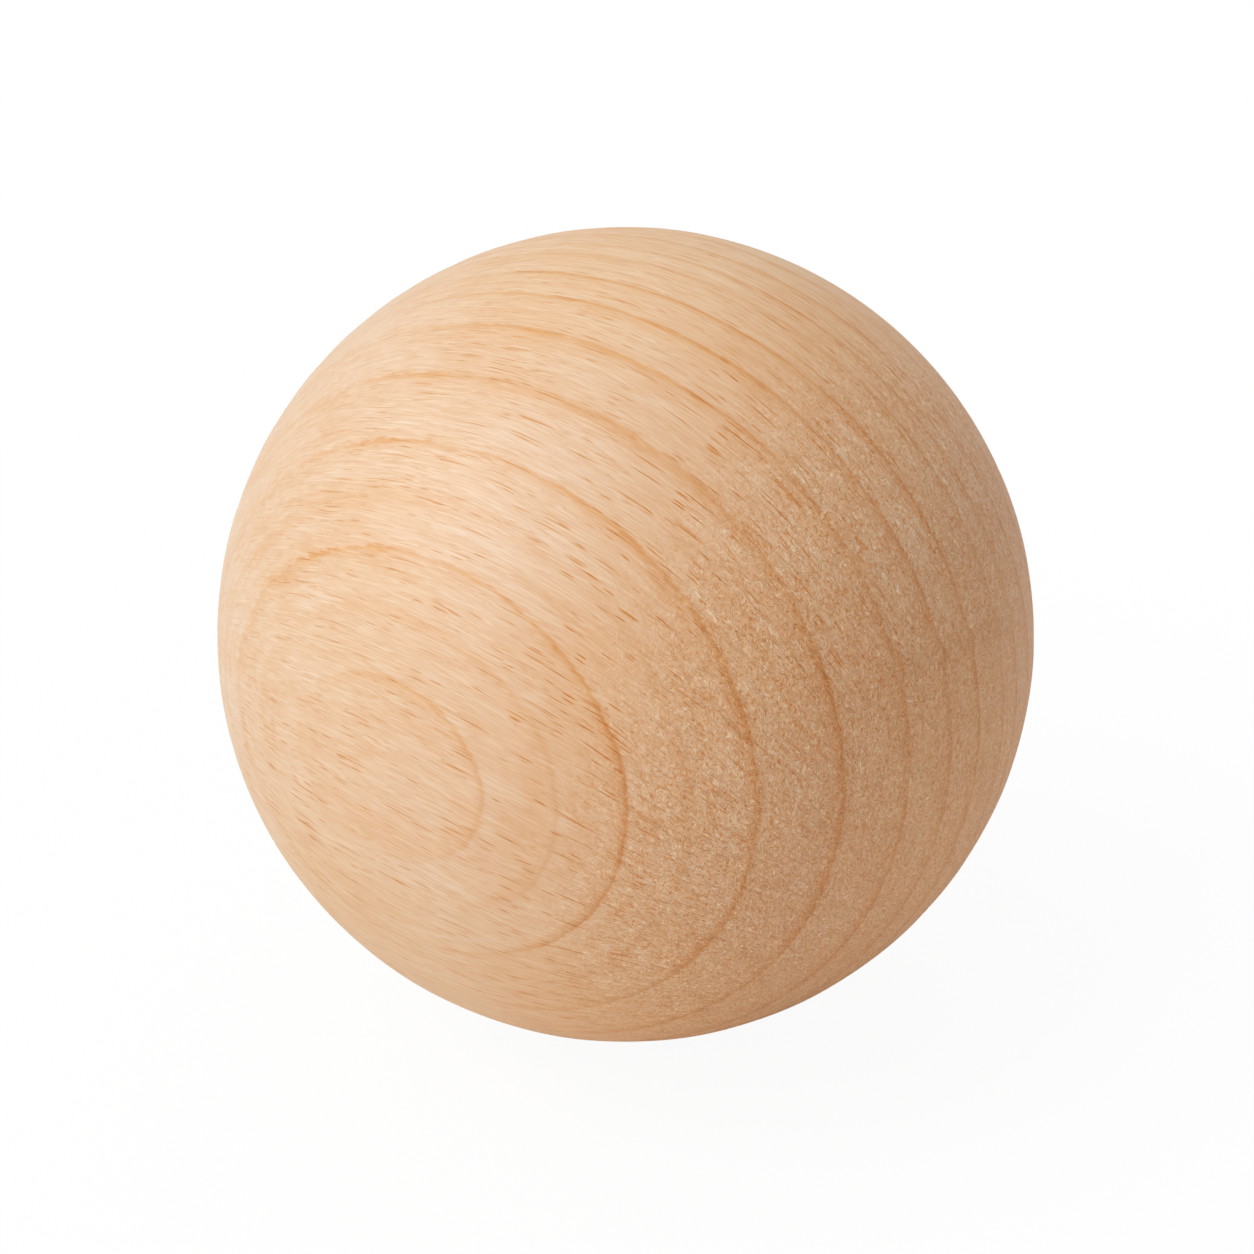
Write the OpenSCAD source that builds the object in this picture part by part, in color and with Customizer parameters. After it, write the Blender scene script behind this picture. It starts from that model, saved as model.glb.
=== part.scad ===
// Turned wooden ball.
//
// One solid piece of beech, turned to a sphere and sanded smooth all over.
// The frame's origin is the ball's centre, with +Z up. A ball has no face,
// hole or flat of its own, so nothing here breaks the round form.

/* [Ball] */
// Finished diameter of the ball, in millimetres
ball_d = 50; // [10:0.5:150]

/* [Quality] */
// Facets round the ball in the preview; the solid itself is a true sphere
preview_facets = 128; // [32:16:256]

/* [Hidden] */

// Pale, lightly steamed beech
wood_colour = [0.90, 0.74, 0.56];

module ball() {
    color(wood_colour)
        sphere(d = ball_d, $fn = preview_facets);
}

ball();
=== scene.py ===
import math

import bpy
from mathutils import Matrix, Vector


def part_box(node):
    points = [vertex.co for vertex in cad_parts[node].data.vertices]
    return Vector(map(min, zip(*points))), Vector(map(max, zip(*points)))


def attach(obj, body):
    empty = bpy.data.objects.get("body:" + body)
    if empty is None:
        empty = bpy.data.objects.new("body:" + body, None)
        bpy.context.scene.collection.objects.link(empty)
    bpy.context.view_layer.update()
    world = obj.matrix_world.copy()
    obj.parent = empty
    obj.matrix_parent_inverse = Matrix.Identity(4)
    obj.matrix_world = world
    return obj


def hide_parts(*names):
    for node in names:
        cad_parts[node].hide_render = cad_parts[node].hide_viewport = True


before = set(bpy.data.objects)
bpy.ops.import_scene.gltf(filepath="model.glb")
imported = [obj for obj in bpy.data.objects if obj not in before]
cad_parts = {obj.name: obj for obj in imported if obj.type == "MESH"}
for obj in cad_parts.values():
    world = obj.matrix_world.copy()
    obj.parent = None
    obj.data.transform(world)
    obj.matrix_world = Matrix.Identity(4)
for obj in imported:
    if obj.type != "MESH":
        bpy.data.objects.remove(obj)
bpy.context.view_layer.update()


# ---------------------------------------------------------------- the ball
# One solid ball of pale beech, turned from a squared block and sanded smooth
# all over. It has no finish on it, so the growth rings, the ray flecks and the
# cut fibres of the end grain are its only marks, though its colour also holds
# painted light and shade.

low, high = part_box("ball")
ball_centre = (low + high) / 2
ball_radius = min(high - low) / 2
mm = 0.001

# The block's own directions: along the fibres, towards the pith, and across both
grain = Vector((0.857, -0.489, -0.159)).normalized()
pith = Vector((-0.485, -0.873, 0.069))
pith = (pith - grain * pith.dot(grain)).normalized()
across = pith.cross(grain)

pith_distance = 106      # from the ball's centre to the middle of the tree, in mm

# How the rings lean and bow, measured along the fibres and across them
lean_along = 0.113
lean_easing = 0.0066     # the rings lean this much less for each mm nearer the pith
lean_across = 0.017
bow_along = 0.00093
sway_along = 0.000094
sway_across = 0.000096
ring_ripple = 0.16       # mm

# How the fibres run off the block's length
fibre_dip = 0.04         # mm away from the pith for each mm along
fibre_drift = 0.05       # mm sideways for each mm along
fibre_bow = 76           # they bow by their length squared over this, in mm
fibre_wave = 0.25        # mm

# Where each year ends, in mm from the ball's centre towards the pith, with how dark
# that year's late wood is
years = (
    (-25.6, 0.8), (-22.1, 0.9), (-18.6, 0.8), (-15.0, 1.0), (-11.4, 1.1), (-7.9, 1.2),
    (-5.0, 1.2), (-2.2, 1.3), (0.3, 1.3), (2.05, 0.9), (4.8, 1.2), (7.15, 1.2), (10.0, 1.2),
    (13.55, 1.1), (17.2, 1.2), (19.5, 0.3), (21.35, 1.5), (23.0, 0.35), (24.3, 0.8), (24.95, 0.0),
    (27.0, 0.0),
)
last_year = len(years) - 1

# A pin knot, the trace of a twig, just under the skin of one end grain
knot_start = (21.0, 9.8, 9.6)
knot_way = Vector((0.21, -0.98, 0.03)).normalized()
knot_push = 0.3          # mm that it moves the rings


class Wire:
    """A socket in a node tree. Arithmetic on it adds Math nodes, and node() adds any other."""

    def __init__(self, tree, socket=None):
        self.tree = tree
        self.socket = socket

    def node(self, kind, settings=(), inputs=(), output=0):
        """A new node: its settings first, then a value or a link for each of its inputs."""
        made = self.tree.nodes.new(kind)
        for name, setting in dict(settings).items():
            if name == "stops":
                set_stops(made.color_ramp, setting)
            elif name == "points":
                set_points(made.mapping, setting)
            else:
                setattr(made, name, setting)
        open_inputs = [socket for socket in made.inputs if socket.enabled]
        for key, given in dict(inputs).items():
            if isinstance(key, str):
                target = next(socket for socket in open_inputs if socket.name == key)
            else:
                target = open_inputs[key]
            if isinstance(given, Wire):
                self.tree.links.new(given.socket, target)
            else:
                target.default_value = given
        outputs = [socket for socket in made.outputs if socket.enabled]
        return Wire(self.tree, outputs[output] if outputs else None)

    def parts(self):
        """The three parts of a vector."""
        split = self.node("ShaderNodeSeparateXYZ", (), {"Vector": self})
        return [split.beside(name) for name in "XYZ"]

    def beside(self, name):
        """Another output of the node that made this one."""
        return Wire(self.tree, self.socket.node.outputs[name])

    def math(self, operation, *values):
        return self.node("ShaderNodeMath", {"operation": operation}, enumerate(values))

    def vector(self, operation, *values):
        return self.node("ShaderNodeVectorMath", {"operation": operation}, enumerate(values))

    def scaled(self, factor):
        """A vector times a number."""
        return self.node("ShaderNodeVectorMath", {"operation": "SCALE"},
                         {"Vector": self, "Scale": factor})

    def __add__(self, other):
        return self.math("ADD", self, other)

    def __sub__(self, other):
        return self.math("SUBTRACT", self, other)

    def __rsub__(self, other):
        return self.math("SUBTRACT", other, self)

    def __mul__(self, other):
        return self.math("MULTIPLY", self, other)

    def __truediv__(self, other):
        return self.math("DIVIDE", self, other)

    def __rtruediv__(self, other):
        return self.math("DIVIDE", other, self)

    def __pow__(self, other):
        return self.math("POWER", self, other)

    def __neg__(self):
        return self.math("MULTIPLY", self, -1)

    def __abs__(self):
        return self.math("ABSOLUTE", self)

    __radd__ = __add__
    __rmul__ = __mul__

    def between(self, start, end, first=0.0, last=1.0):
        """first at start and last at end, in an even curve that is flat beyond both."""
        return self.node(
            "ShaderNodeMapRange",
            {"interpolation_type": "SMOOTHSTEP"},
            {"Value": self, "From Min": start, "From Max": end, "To Min": first, "To Max": last},
        )


def empty_tree(owner):
    """Clears the node tree of a new material or world and gives a wire to start from."""
    owner.use_nodes = True
    owner.node_tree.nodes.clear()
    return Wire(owner.node_tree)


def set_stops(ramp, stops):
    """Gives a ramp its stops, each a spot on it and a grey or a colour."""
    while len(ramp.elements) > 1:
        ramp.elements.remove(ramp.elements[0])
    for number, (spot, shade) in enumerate(stops):
        stop = ramp.elements[0] if number == 0 else ramp.elements.new(spot)
        stop.position = spot
        stop.color = (shade, shade, shade, 1) if isinstance(shade, float) else (*shade, 1)


def set_points(mapping, points):
    """Gives a float curve its points, joined by straight lines."""
    curve = mapping.curves[0]
    while len(curve.points) > 2:
        curve.points.remove(curve.points[1])
    for number, (x, y) in enumerate(points):
        point = curve.points[number] if number < 2 else curve.points.new(x, y)
        point.location = (x, y)
    for point in curve.points:
        point.handle_type = "VECTOR"
    mapping.update()


def new_object(name, data):
    made = bpy.data.objects.new(name, data)
    bpy.context.scene.collection.objects.link(made)
    return made


def wood_place(position):
    """A point's place in the block, in mm: along the fibres, towards the pith and across."""
    in_mm = position.scaled(1 / mm)
    parts = [in_mm.vector("DOT_PRODUCT", in_mm, tuple(way)) for way in (grain, pith, across)]
    return in_mm.node("ShaderNodeCombineXYZ", (), enumerate(parts))


def in_cells(place, size, shift):
    """A place counted in cells of that size in mm, shifted so that no two patterns are alike."""
    scale = tuple(1 / length for length in size)
    return place.vector("MULTIPLY_ADD", place, scale, (shift, shift * 1.7, shift * 2.3))


def noise(place, size, shift, detail=1.0, roughness=0.5, colour=False, twist=0.0):
    """Even noise about zero, of a size in mm each way. In colour it is three noises at once."""
    found = place.node(
        "ShaderNodeTexNoise",
        {"noise_dimensions": "3D"},
        {"Vector": in_cells(place, size, shift), "Scale": 1.0,
         "Detail": detail, "Roughness": roughness, "Distortion": twist},
        1 if colour else 0,
    )
    if colour:
        return found.vector("MULTIPLY_ADD", found, (2, 2, 2), (-1, -1, -1))
    return found * 2 - 1


def knot_share(place):
    """1 in the middle of the pin knot, falling to 0 about a millimetre off."""
    from_start = place.vector("SUBTRACT", place, knot_start)
    run = place.vector("DOT_PRODUCT", from_start, tuple(knot_way))
    off = place.vector("LENGTH", place.vector("CROSS_PRODUCT", from_start, tuple(knot_way)))
    return off.between(1.1, 0.3) * run.between(-1.5, 0) * run.between(12.5, 9.5)


def ring_depth(place):
    """How far a point lies towards the pith, measured square to the growth rings, in mm."""
    along, inward, sideways = place.parts()
    from_pith = ((pith_distance - inward) ** 2 + sideways ** 2) ** 0.5
    lean = along * (lean_along - inward * lean_easing) - sideways * lean_across
    bow = along ** 2 * bow_along - along ** 3 * sway_along + sideways ** 3 * sway_across
    ripple = noise(place, (10, 5, 5), detail=3, roughness=0.6, shift=5.1) * ring_ripple
    return pith_distance - from_pith + lean + bow + ripple + knot_share(place) * knot_push


def year_of(depth):
    """The number of years from the outermost ring, with its fraction, at a depth in mm."""
    first, last = years[0][0], years[-1][0]
    points = [((edge - first) / (last - first), number / last_year)
              for number, (edge, _) in enumerate(years)]
    share = (depth - first) / (last - first)
    return depth.node("ShaderNodeFloatCurve", {"points": points}, {"Value": share}) * last_year


# The form: a cube's grid is blown out to a sphere, so it has no poles, and the soft early
# wood is sanded a hair lower than the late wood

def ball_tree():
    tree = bpy.data.node_groups.new("turned_ball", "GeometryNodeTree")
    tree.is_modifier = True
    sockets = tree.interface
    sockets.new_socket("Radius", in_out="INPUT", socket_type="NodeSocketFloat")
    sockets.new_socket("Grid lines", in_out="INPUT", socket_type="NodeSocketInt")
    sockets.new_socket("Ring relief", in_out="INPUT", socket_type="NodeSocketFloat")
    sockets.new_socket("Shrinkage across", in_out="INPUT", socket_type="NodeSocketFloat")
    sockets.new_socket("Wood", in_out="INPUT", socket_type="NodeSocketMaterial")
    sockets.new_socket("Ball", in_out="OUTPUT", socket_type="NodeSocketGeometry")
    start = Wire(tree)
    entry = start.node("NodeGroupInput")
    radius, lines, relief, shrinkage, wood_input = [
        entry.beside(name)
        for name in ("Radius", "Grid lines", "Ring relief", "Shrinkage across", "Wood")
    ]
    cube = start.node(
        "GeometryNodeMeshCube",
        (),
        {"Size": (2, 2, 2), "Vertices X": lines, "Vertices Y": lines, "Vertices Z": lines},
    )
    corner = start.node("GeometryNodeInputPosition")
    spread = start.vector("TANGENT", corner.scaled(math.pi / 4))
    outward = start.vector("NORMALIZE", spread)
    place = wood_place(outward.scaled(radius))
    year = year_of(ring_depth(place))
    early = start.math("FRACT", year).between(0.05, 0.45)
    sideways = abs(place.parts()[2]) * mm / radius
    height = radius * (1 - shrinkage * sideways * sideways) - relief * early
    centred = start.vector("ADD", outward.scaled(height), tuple(ball_centre))
    ball = start.node("GeometryNodeSetPosition", (), {"Geometry": cube, "Position": centred})
    smooth = start.node("GeometryNodeSetShadeSmooth", (), {"Geometry": ball, "Shade Smooth": True})
    real = start.node("GeometryNodeRealizeInstances", (), {"Geometry": smooth})
    painted = start.node("GeometryNodeSetMaterial", (), {"Geometry": real, "Material": wood_input})
    start.node("NodeGroupOutput", (), {"Ball": painted})
    return tree


def turned_ball(wood):
    maker = new_object("maker", bpy.data.meshes.new("maker"))
    modifier = maker.modifiers.new("turned_ball", "NODES")
    modifier.node_group = ball_tree()
    sizes = {
        "Radius": ball_radius,
        "Grid lines": 128,
        "Ring relief": 0.02 * mm,
        "Shrinkage across": 0.003,
        "Wood": wood,
    }
    for item in modifier.node_group.interface.items_tree:
        if item.name in sizes:
            modifier[item.identifier] = sizes[item.name]
    seen = maker.evaluated_get(bpy.context.evaluated_depsgraph_get())
    mesh = bpy.data.meshes.new_from_object(seen)
    mesh.name = "wooden_ball"
    bpy.data.objects.remove(maker)
    return new_object("wooden_ball", mesh)


# The wood: each kind of mark darkens the pale ground by its own tint, and some of them are painted
# light and shade

# The wood's colour, from the pale end grain (-1) over the face (0) to the warm one (1).
# Past the wood's own tone it holds painted light: paler at the end towards the key light,
# darker and warmer at the end turned from it, and a painted sheen highlight in the pale
# step at 0.1
wood_tone_and_painted_light = (
    (-1.0, (0.677, 0.498, 0.341)), (-0.5, (0.716, 0.495, 0.321)), (-0.2, (0.746, 0.504, 0.317)),
    (0.1, (0.790, 0.537, 0.350)), (0.35, (0.795, 0.493, 0.284)), (0.6, (0.790, 0.443, 0.226)),
    (0.8, (0.749, 0.407, 0.204)), (1.0, (0.786, 0.423, 0.197)),
)
# The first tint is painted shade, warmer over the lower half where less light and sheen reach, and
# also warms the top edge
warm_low_shade_and_top_tint = (1.0, 0.98, 0.9)
knot_tint = (0.95, 0.91, 0.86)
late_wood_tint = (0.96, 0.84, 0.68)
end_ring_tint = (0.935, 0.82, 0.675)
fleck_tint = (0.85, 0.60, 0.33)
# The last tint paints the light and shade of the curled fibres' relief
curl_light_and_shade_tint = (0.93, 0.81, 0.65)


def tinted(colour, tint, amount):
    """The colour with that much of a tint on it. A negative amount makes it paler."""
    share = amount.node(
        "ShaderNodeMix",
        {"data_type": "RGBA", "clamp_factor": False},
        {"Factor": amount, "A": (1, 1, 1, 1), "B": (*tint, 1)},
    )
    return amount.node(
        "ShaderNodeMix",
        {"data_type": "RGBA", "blend_type": "MULTIPLY"},
        {"Factor": 1.0, "A": colour, "B": share},
    )


def flecks(place, size, reach, share, shift):
    """Short dark dashes, one in each cell of that size in mm.

    Each reaches that part of a cell from its middle, and only a share of them shows.
    """
    distance = place.node(
        "ShaderNodeTexVoronoi",
        {"voronoi_dimensions": "3D", "feature": "F1"},
        {"Vector": in_cells(place, size, shift), "Scale": 1.0, "Randomness": 1.0},
    )
    chance = place.node("ShaderNodeSeparateColor", (), {"Color": distance.beside("Color")})
    return distance.between(reach, reach * 0.4) * chance.between(1 - share, 1 - share * 0.3)


def fibre_place(place):
    """Along the fibres, and twice across them, with their bow and their waves taken out."""
    along, inward, sideways = place.parts()
    bend = noise(place, (7, 3, 3), shift=21.0, colour=True).parts()
    inward = inward + along * fibre_dip + bend[1] * fibre_wave
    bow = along * along / fibre_bow
    sideways = sideways + along * fibre_drift + bow + bend[2] * fibre_wave
    return along, inward, sideways


def skin_place(fibres, first, last):
    """As fibre_place, but followed over the skin.

    Towards the end grain this fades out, from a first to a last share of the way there.
    """
    along, inward, sideways = fibres
    radius = ball_radius / mm
    least = 0.01             # square mm, so that nothing is divided by zero
    out = (inward * inward + sideways * sideways + least) ** 0.5
    spread = (radius / out) ** (abs(along) / radius).between(first, last, 1.0, 0.0)
    over = along.math("ARCSINE", along / radius) * radius
    laid = (over, inward * spread, sideways * spread)
    return along.node("ShaderNodeCombineXYZ", (), enumerate(laid))


def crests(even_noise):
    """Thin crests, 1 high, where a noise passes through zero."""
    sharpness = 9
    return (1 - abs(even_noise) * sharpness).between(0, 1)


def beech():
    material = bpy.data.materials.new("sanded_beech")
    start = empty_tree(material)
    place = wood_place(start.node("ShaderNodeTexCoord").beside("Object"))

    # along goes from -1 at the pale end grain to 1 at the warm one. side, across the fibres,
    # and depth, towards the pith, are in mm
    length, _, side = place.parts()
    along = length / (ball_radius / mm)
    depth = ring_depth(place)

    # Growth rings: thin dark lines of late wood, with a soft edge on the pith's side. They
    # are ragged, most of all at the pale end
    year = year_of(depth)
    darkest = 2              # a curve only holds 0 to 1, so it gets shares of this
    strengths = [(number / last_year, dark / darkest) for number, (_, dark) in enumerate(years)]
    strength = darkest * start.node(
        "ShaderNodeFloatCurve", {"points": strengths}, {"Value": year / last_year})
    rough = along.between(-0.6, -0.1, 0.22, 0.07) * along.between(0.1, 0.6, 1.0, 0.4)
    ragged = noise(place, (1.6, 0.3, 0.3), detail=2, roughness=0.6, shift=9.0) * rough
    late = start.node(
        "ShaderNodeValToRGB",
        {"stops": ((0.0, 1.0), (0.03, 0.85), (0.07, 0.5), (0.12, 0.33), (0.2, 0.15), (0.35, 0.0),
                   (0.9, -0.05), (0.95, 0.1), (0.975, 0.45), (1.0, 1.0))},
        {"Fac": start.math("FRACT", year + ragged)},
    )

    # They blur towards the pale end, and sooner in the small oval where they skim the skin
    heart = depth.between(22.2, 23.4) * 0.3
    blurred = (along - heart).between(-0.15, -0.6, 1.0, 0.35)
    late = late.math("MINIMUM", late, blurred)

    # They also fade at that end and on one side of the face, and their strength is uneven
    hidden = along.between(0.45, 0.15) * side.between(0, -7) * 0.75
    clear = along.between(-0.75, -0.2, 0.6, 1.0) * (1 - hidden)
    sheets = start.node("ShaderNodeCombineXYZ", (), enumerate((length, depth, side)))
    uneven = noise(sheets, (3, 1.2, 1.4), detail=3, roughness=0.6, shift=3.7)
    uneven = uneven + noise(place, (16, 8, 8), detail=0, shift=8.7)
    rings = late * strength * clear * (1.3 + uneven * (1 - along.between(0.4, 0.8) * 0.6))

    # The fibres lie along the skin on the face grain and stand on end at two sides, of
    # which the pale one is nearly plain
    fibres = fibre_place(place)
    skin = skin_place(fibres, 0.45, 0.95)
    strands = skin_place(fibres, 0.8, 1.0)
    end = along.between(0.25, 0.62)
    face = 1 - abs(along).between(0.2, 0.6)
    marked = along.between(-0.9, -0.3)

    # Ray flecks: short dark dashes along the fibres, some of them in rows, with only their
    # ends to be seen on the end grain
    chain = noise(sheets, (8, 0.5, 1.5), shift=23.0).between(-0.3, 0.3)
    rows = noise(strands, (9, 0.4, 0.4), detail=0, shift=15.0).between(-0.05, 0.2)
    rows = rows * (chain * 0.5 + 0.5)
    row_flecks = flecks(strands, (1.9, 0.1, 0.1), reach=0.47, share=0.22, shift=17.0)
    long_flecks = flecks(
        strands, (3.4, 0.11, 0.11), reach=0.46, share=0.11 + chain * 0.17, shift=1.9)
    short_flecks = flecks(
        strands, (1.2, 0.1, 0.1), reach=0.46, share=0.06 + chain * 0.1, shift=7.3)
    ticks = flecks(skin, (0.4, 0.16, 0.16), reach=0.46, share=0.4, shift=4.7) * end
    dashes = row_flecks * rows * 1.8 + long_flecks * 1.2 + short_flecks * 1.5
    dashes = dashes.math("MINIMUM", dashes, 1.1) * marked * along.between(0.15, 0.35, 0.8, 1.4)
    dashes = dashes * (along.between(0, -0.3) * side.between(6, -6, -0.15, 0.5) + 1)
    dashes = dashes * (1 - end * 0.4) + ticks * 0.9

    # Fibres: fine lines on the face grain, and cut ends that curl up on the end grain,
    # painted pale on their crests and dark between them as the light and shade of their relief
    hair = noise(strands, (1.7, 0.1, 0.1), roughness=0.6, shift=31.0)
    hair_lines = 1 - abs(hair) * 7
    in_places = noise(strands, (2, 0.35, 0.35), shift=36.0).between(-0.3, 0.3)
    hair_lines = hair_lines.math("MAXIMUM", hair_lines, 0) * in_places
    nap = noise(skin, (0.55, 0.45, 0.45), detail=0, shift=41.0, colour=True, twist=1.5).parts()
    fuzz = crests(nap[0]) + crests(nap[2]) * 0.7 - crests(nap[1])
    pits = noise(skin, (0.45, 0.2, 0.2), shift=43.0)
    mottle = noise(skin, (0.8, 0.4, 0.4), shift=46.0)

    # Soft changes of colour, in the ring layers, along the fibres and in patches, with a
    # painted sheen highlight as a pale band across the upper face, and painted shade as
    # warmth over the lower half
    layers = noise(sheets, (20, 0.45, 6), detail=2, roughness=0.6, shift=17.0)
    streaks = noise(strands, (7, 1.0, 1.0), shift=51.0)
    cloud = noise(place, (14, 4, 4), detail=2, shift=61.0)
    blush = noise(skin, (4, 1.5, 1.5), detail=2, shift=71.0) * along.between(0.1, -0.5)
    # A painted sheen highlight: a pale band across the upper face, where the key light's sheen
    # falls
    painted_sheen_band = side.between(11, 16) * side.between(22, 18)
    # Warmer towards the bottom as painted shade, and at the top edge
    warm_low_shade_and_top = side.between(-3, -15) + side.between(19, 25)

    # The ground colour along the fibres: the wood's tone with painted shade towards the end turned
    # from the key light, and a painted sheen highlight near the face
    colour = start.node(
        "ShaderNodeValToRGB",
        {"stops": [((share + 1) / 2, shade) for share, shade in wood_tone_and_painted_light]},
        {"Fac": (along + 1) / 2},
    )
    # Painted shade: the lower half warmer, and the top edge too
    colour = tinted(colour, warm_low_shade_and_top_tint, warm_low_shade_and_top)
    colour = tinted(colour, knot_tint, knot_share(place))
    # The pale band is taken off here, as a painted sheen highlight
    soft = layers * 0.8 + cloud * 0.4 + streaks * 0.3 + blush * 0.6 - painted_sheen_band * 0.2
    colour = tinted(colour, late_wood_tint, rings * (1 - end) + soft)
    colour = tinted(colour, end_ring_tint, rings * end)
    lines = hair_lines * (0.3 + face * 0.25) + hair * 0.55 * (1 - end * 0.3) * marked
    lines = lines + pits * 0.7 * end + mottle * along.between(-0.1, -0.6) * 0.3
    colour = tinted(colour, fleck_tint, dashes + lines)
    # Painted light and shade of the curls: pale on their crests and dark in the gaps, only on the
    # warm end that the key light grazes. The mottle in it is the wood's own
    curls_light_and_shade = (-fuzz * 2.0 + mottle * 0.8) * end * along.between(0.8, 1.0, 1.0, 0.7)
    colour = tinted(colour, curl_light_and_shade_tint, curls_light_and_shade)

    # The curled ends stand a hair proud
    height = fuzz * end * 0.5
    bump = start.node("ShaderNodeBump", (), {
        "Strength": 1.0, "Distance": 0.025 * mm, "Height": height})
    finish = start.node("ShaderNodeBsdfPrincipled", (), {
        "Base Color": colour,
        "Roughness": 0.5,
        "IOR": 1.45,
        "Normal": bump,
    })
    start.node("ShaderNodeOutputMaterial", (), {"Surface": finish})
    return material


ball = turned_ball(beech())
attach(ball, "root")
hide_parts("ball")


# ---------------------------------------------------------------- the floor
# A wide pale table top under the ball. To the camera it fades into plain white,
# and it keeps the ball's soft shadow.

floor_reach = 3.0
floor_height = low.z


def floor_material():
    material = bpy.data.materials.new("pale_floor")
    start = empty_tree(material)
    distance = start.vector("LENGTH", start.node("ShaderNodeTexCoord").beside("Object"))
    seen = start.node("ShaderNodeLightPath").beside("Is Camera Ray")
    # To the camera it glows plain white, with a little of its own shading near the ball
    glow_share = seen * distance.between(0.03, 0.12, 0.94, 1.0)
    paint = start.node("ShaderNodeBsdfDiffuse", (), {"Color": (0.93, 0.93, 0.93, 1)})
    glow = start.node("ShaderNodeEmission", (), {"Color": (1, 1, 1, 1), "Strength": 1.0})
    mixed = start.node("ShaderNodeMixShader", (), {0: glow_share, 1: paint, 2: glow})
    start.node("ShaderNodeOutputMaterial", (), {"Surface": mixed})
    return material


def flat_sheet(name, reach, height):
    mesh = bpy.data.meshes.new(name)
    corners = [(-reach, -reach, height), (reach, -reach, height), (reach, reach, height),
               (-reach, reach, height)]
    mesh.from_pydata(corners, [], [(0, 1, 2, 3)])
    return new_object(name, mesh)


floor = flat_sheet("floor", floor_reach, floor_height)
floor.data.materials.append(floor_material())


# ---------------------------------------------------------------- the light
# One broad soft box up to the left, a weaker one overhead, and an even white room
# around them.

room_light = 0.416       # what the room throws on the ball, where plain white is 1
mirrored_room = 0.75     # how far from that to plain white the ball's sheen mirrors it


def soft_box(name, direction, distance, size, watts):
    lamp = bpy.data.lights.new(name, "AREA")
    lamp.shape = "DISK"
    lamp.size = size
    lamp.energy = watts
    box = new_object(name, lamp)
    box.location = ball_centre + Vector(direction).normalized() * distance
    box.rotation_euler = (ball_centre - box.location).to_track_quat("-Z", "Y").to_euler()


soft_box("key_box", (-0.680, -0.295, 0.672), distance=0.8, size=0.75, watts=4.83)
soft_box("top_box", (-0.034, 0.449, 0.893), distance=0.9, size=0.9, watts=1.69)

world = bpy.data.worlds.new("white_room")
start = empty_tree(world)
seen = start.node("ShaderNodeLightPath").beside("Is Camera Ray")
mirrored = seen.beside("Is Glossy Ray") * mirrored_room
level = seen.math("MAXIMUM", seen, mirrored) * (1 - room_light) + room_light
room = start.node("ShaderNodeBackground", (), {"Color": (1, 1, 1, 1), "Strength": level})
start.node("ShaderNodeOutputWorld", (), {"Surface": room})
bpy.context.scene.world = world


# ---------------------------------------------------------------- the camera
# A longish lens in front of the ball, three of its widths from its centre. It looks down
# at 25 degrees, so that the face grain, the end grain and the top all show.

camera_distance = 6 * ball_radius
look_down = math.radians(25)
aim_right = math.radians(-0.035)
aim_up = math.radians(0.167)

lens = bpy.data.cameras.new("camera")
lens.sensor_width = 36
lens.lens = 69.4
lens.clip_start = 0.01
camera = new_object("camera", lens)
camera.location = ball_centre + camera_distance * Vector(
    (0, -math.cos(look_down), math.sin(look_down)))
camera.rotation_euler = (math.pi / 2 - look_down + aim_up, 0, aim_right)
bpy.context.scene.camera = camera

bpy.context.scene.view_settings.view_transform = "Standard"
